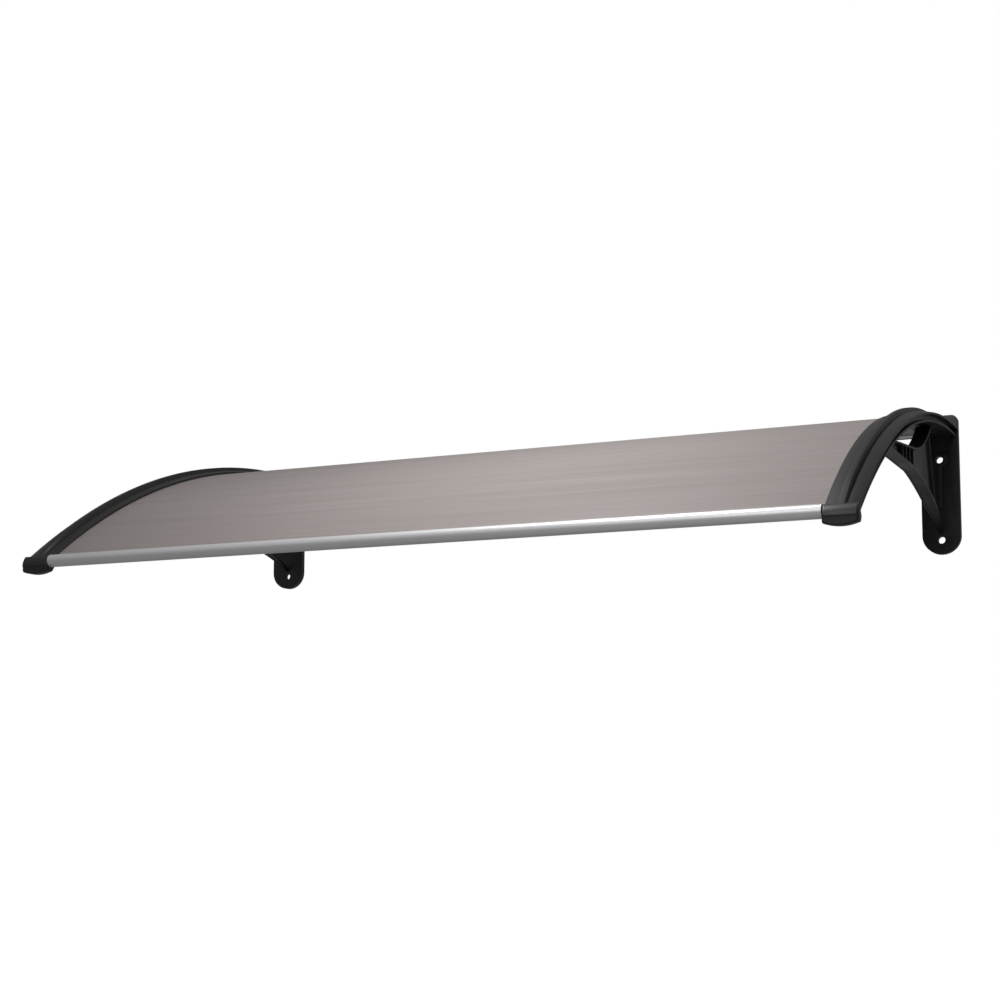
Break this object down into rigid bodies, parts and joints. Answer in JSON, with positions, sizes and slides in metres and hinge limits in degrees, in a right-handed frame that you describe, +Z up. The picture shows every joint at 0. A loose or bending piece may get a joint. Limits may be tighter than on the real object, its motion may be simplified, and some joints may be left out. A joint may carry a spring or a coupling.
{
  "type": "door canopy",
  "caption": "Wall-mounted door canopy: an arched twin-wall sheet on braced side brackets, with cover strips, a round front bar and a rear rail.",
  "frame": {"origin": "on the wall, in the middle of the width, at the height of the sheet's rear edge: the centre of the wall seal's back face", "axes": "+X to the canopy's right as seen from the front, +Y into the wall, +Z up; the canopy reaches out towards -Y"},
  "size_m": [1.2, 0.7, 0.2624],
  "materials": {
    "black_plastic": "moulded, fine grain, slightly satin",
    "tinted_polycarbonate": "smooth, tinted, with fine flutes across the width",
    "satin_aluminium": "satin anodised, brushed lengthwise",
    "black_rubber": "matt",
    "black_steel": "blackened"
  },
  "bodies": {
    "root": {"bracket_left": "black_plastic", "cover_strip_left": "black_plastic", "front_cap_left": "black_plastic", "edge_gasket_left": "black_rubber", "cap_screw_left": "black_steel", "strip_screw_left_1": "black_steel", "strip_screw_left_2": "black_steel", "strip_screw_left_3": "black_steel", "strip_screw_left_4": "black_steel", "strip_screw_left_5": "black_steel", "bracket_right": "black_plastic", "cover_strip_right": "black_plastic", "front_cap_right": "black_plastic", "edge_gasket_right": "black_rubber", "cap_screw_right": "black_steel", "strip_screw_right_1": "black_steel", "strip_screw_right_2": "black_steel", "strip_screw_right_3": "black_steel", "strip_screw_right_4": "black_steel", "strip_screw_right_5": "black_steel", "canopy_sheet": "tinted_polycarbonate", "front_bar": "satin_aluminium", "rear_rail": "satin_aluminium", "wall_seal": "black_rubber"}
  },
  "joints": []
}
